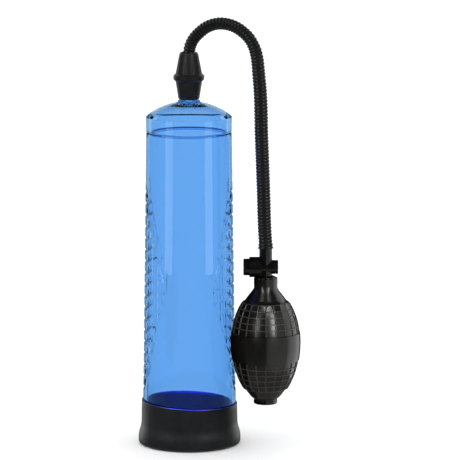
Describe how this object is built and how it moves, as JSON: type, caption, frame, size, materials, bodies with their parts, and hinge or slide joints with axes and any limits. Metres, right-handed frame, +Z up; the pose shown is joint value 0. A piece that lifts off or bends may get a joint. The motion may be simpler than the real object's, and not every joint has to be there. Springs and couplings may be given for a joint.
{
  "type": "hand-bulb vacuum cylinder pump",
  "caption": "Clear tapered cylinder with a rubber base sleeve, domed cap and push-on coupling, worked by a squeeze bulb on a corrugated hose with a press-to-release valve.",
  "frame": {"origin": "centre of the open mouth in the base sleeve, on the plane that the sleeve stands on", "axes": "+Z up along the cylinder's axis towards the hose coupling; the bulb hangs at +X and a little towards -Y; the release button faces -X"},
  "size_m": [0.1075, 0.077, 0.2848],
  "materials": {
    "clear_blue": "clear blue moulded plastic, polished, see-through",
    "sleeve_rubber": "soft satin black rubber",
    "coupling_black": "black moulded plastic, fine satin texture",
    "hose_black": "black corrugated flexible hose, satin",
    "valve_black": "gloss black moulded plastic",
    "bulb_black": "gloss black soft vinyl",
    "seal_rubber": "black seal rubber",
    "inner_plastic": "grey inner moulding",
    "steel": "bright steel"
  },
  "bodies": {
    "cylinder": {"tube": "clear_blue", "end_cap": "clear_blue"},
    "sleeve": {"base_sleeve": "sleeve_rubber"},
    "coupling": {"coupling_socket": "coupling_black", "nipple_seal": "seal_rubber", "grip_ring": "coupling_black", "hose_nut": "coupling_black"},
    "hose_line": {"hose_barb": "inner_plastic", "swivel_seal": "seal_rubber", "hose": "hose_black", "valve_body": "valve_black", "spring_cap": "valve_black", "spring_cap_seal": "seal_rubber", "release_spring": "steel", "inlet_cage": "inner_plastic", "bulb": "bulb_black"},
    "button": {"release_button": "valve_black", "release_stem": "steel", "poppet_seal": "seal_rubber"},
    "inlet_check": {"inlet_ball": "steel"},
    "bulb_foot": {"exhaust_seat": "valve_black", "exhaust_cage": "inner_plastic"},
    "exhaust_check": {"exhaust_ball": "steel"}
  },
  "joints": [
    {"name": "base_pull", "type": "slide", "parent": "sleeve", "child": "cylinder", "axis": [0, 0, 1], "range_m": [0, 0.025]},
    {"name": "coupling_pull", "type": "slide", "parent": "cylinder", "child": "coupling", "axis": [0, 0, 1], "range_m": [0, 0.014]},
    {"name": "hose_swivel", "type": "hinge", "parent": "coupling", "child": "hose_line", "pos_m": [0, 0, 0.2475], "axis": [0, 0, 1], "continuous": true},
    {"name": "release_press", "type": "slide", "parent": "hose_line", "child": "button", "axis": [1, 0, 0], "range_m": [0, 0.002], "stiffness_N_per_m": 800, "springref_m": -0.0015, "deforming": ["release_spring"]},
    {"name": "inlet_lift", "type": "slide", "parent": "hose_line", "child": "inlet_check", "axis": [0, 0, 1], "range_m": [0, 0.00115]},
    {"name": "bulb_squeeze", "type": "slide", "parent": "hose_line", "child": "bulb_foot", "axis": [0, 0, 1], "range_m": [0, 0.015], "stiffness_N_per_m": 400, "springref_m": -0.005, "deforming": ["bulb"]},
    {"name": "exhaust_lift", "type": "slide", "parent": "bulb_foot", "child": "exhaust_check", "axis": [0, 0, 1], "range_m": [0, 0.00115]}
  ]
}
